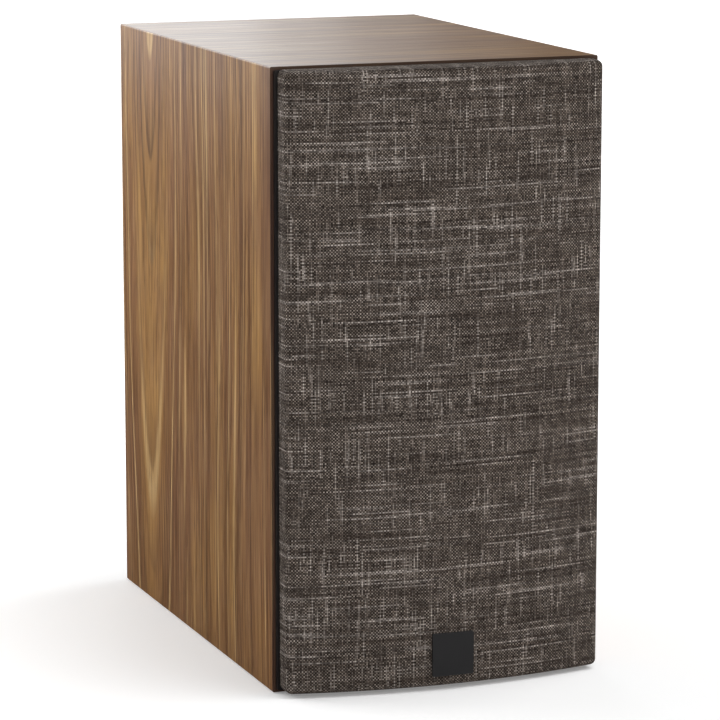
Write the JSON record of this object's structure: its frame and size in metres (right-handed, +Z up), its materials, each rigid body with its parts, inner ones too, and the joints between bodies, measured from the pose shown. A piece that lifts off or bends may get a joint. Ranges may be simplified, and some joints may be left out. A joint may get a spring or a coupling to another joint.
{
  "type": "bookshelf speaker",
  "caption": "Upright walnut-veneer bookshelf speaker with a curved woven fabric grille on the front, a rear port and screw terminals.",
  "frame": {"origin": "middle of the base, at the middle of the overall width and of the overall depth from badge to terminals", "axes": "+Z up, front grille faces -Y, +X to the right of someone looking at the front"},
  "size_m": [0.154, 0.269, 0.278],
  "materials": {
    "walnut_veneer": "satin lacquered walnut-look veneer",
    "black_satin": "satin black painted board",
    "raw_board": "raw fibreboard",
    "felt": "needled felt",
    "black_plastic": "fine-grained moulding",
    "grille_cloth": "woven melange cloth",
    "badge_black": "matte",
    "rubber": "matte rubber",
    "basket_black": "powder coated",
    "cone_paper": "fibre-flecked paper pulp",
    "aluminium": "thin foil",
    "copper": "enamelled copper wire",
    "spider_cloth": "corrugated resin-dipped cloth",
    "plated_steel": "zinc plated",
    "ferrite": "sintered ferrite",
    "brass": "gold-plated brass",
    "black_steel": "black oxide",
    "dome_cloth": "coated silk",
    "red_plastic": "clear-capped moulding",
    "post_black": "moulding",
    "circuit_board": "solder-masked board",
    "white_nylon": "moulded nylon",
    "film_capacitor": "film wrap",
    "ceramic": "cement case",
    "lead_red": "insulated copper lead",
    "lead_black": "insulated copper lead",
    "lead_blue": "insulated copper lead"
  },
  "bodies": {
    "cabinet": {"side_panel_left": "walnut_veneer", "side_panel_right": "walnut_veneer", "top_panel": "walnut_veneer", "bottom_panel": "walnut_veneer", "front_baffle": "black_satin", "rear_panel": "black_satin", "cabinet_brace": "raw_board", "damping_pads": "felt", "port_tube": "black_plastic", "grille_sockets": "rubber", "woofer_basket": "basket_black", "woofer_gasket": "rubber", "woofer_top_plate": "plated_steel", "woofer_magnet": "ferrite", "woofer_yoke": "plated_steel", "woofer_terminals": "brass", "woofer_screws": "black_steel", "tweeter_faceplate": "black_plastic", "tweeter_gasket": "rubber", "tweeter_top_plate": "plated_steel", "tweeter_magnet": "ferrite", "tweeter_yoke": "plated_steel", "tweeter_rear_chamber": "black_plastic", "tweeter_terminals": "brass", "tweeter_screws": "black_steel", "terminal_plate": "black_plastic", "terminal_screws": "black_steel", "post_shafts": "brass", "post_nuts": "plated_steel", "post_collar_red": "red_plastic", "post_collar_black": "post_black", "crossover_board": "circuit_board", "crossover_standoffs": "white_nylon", "crossover_screws": "plated_steel", "crossover_inductors": "copper", "crossover_capacitors": "film_capacitor", "crossover_resistors": "ceramic", "input_leads": "lead_red", "woofer_leads": "lead_black", "tweeter_leads": "lead_blue"},
    "woofer_moving": {"woofer_surround": "rubber", "woofer_cone": "cone_paper", "woofer_dust_cap": "cone_paper", "woofer_coil_former": "aluminium", "woofer_voice_coil": "copper", "woofer_spider": "spider_cloth"},
    "tweeter_moving": {"tweeter_surround": "dome_cloth", "tweeter_dome": "dome_cloth", "tweeter_coil_former": "aluminium", "tweeter_voice_coil": "copper"},
    "grille": {"grille_frame": "black_plastic", "grille_fabric": "grille_cloth", "grille_badge": "badge_black"},
    "washer_red": {"post_washer_red": "plated_steel"},
    "cap_red": {"post_cap_red": "red_plastic"},
    "washer_black": {"post_washer_black": "plated_steel"},
    "cap_black": {"post_cap_black": "post_black"}
  },
  "joints": [
    {"name": "grille_pull", "type": "slide", "parent": "cabinet", "child": "grille", "axis": [0, -1, 0], "range_m": [0, 0.08]},
    {"name": "woofer_excursion", "type": "slide", "parent": "cabinet", "child": "woofer_moving", "axis": [0, -1, 0], "range_m": [-0.004, 0.004], "stiffness_N_per_m": 900, "deforming": ["woofer_surround", "woofer_spider"]},
    {"name": "tweeter_excursion", "type": "slide", "parent": "cabinet", "child": "tweeter_moving", "axis": [0, -1, 0], "range_m": [-0.0004, 0.0004], "stiffness_N_per_m": 600, "deforming": ["tweeter_surround"]},
    {"name": "washer_red_travel", "type": "slide", "parent": "cabinet", "child": "washer_red", "axis": [0, 1, 0], "range_m": [0, 0.0051]},
    {"name": "cap_red_turn", "type": "hinge", "parent": "washer_red", "child": "cap_red", "pos_m": [0.019, 0.124, 0.062], "axis": [0, 1, 0], "range_deg": [0, 1800]},
    {"name": "washer_black_travel", "type": "slide", "parent": "cabinet", "child": "washer_black", "axis": [0, 1, 0], "range_m": [0, 0.0051]},
    {"name": "cap_black_turn", "type": "hinge", "parent": "washer_black", "child": "cap_black", "pos_m": [-0.019, 0.124, 0.062], "axis": [0, 1, 0], "range_deg": [0, 1800]}
  ],
  "couplings": [
    {"joint": "washer_red_travel", "follows": "cap_red_turn", "m_per_rad": 0.00015915},
    {"joint": "washer_black_travel", "follows": "cap_black_turn", "m_per_rad": 0.00015915}
  ]
}
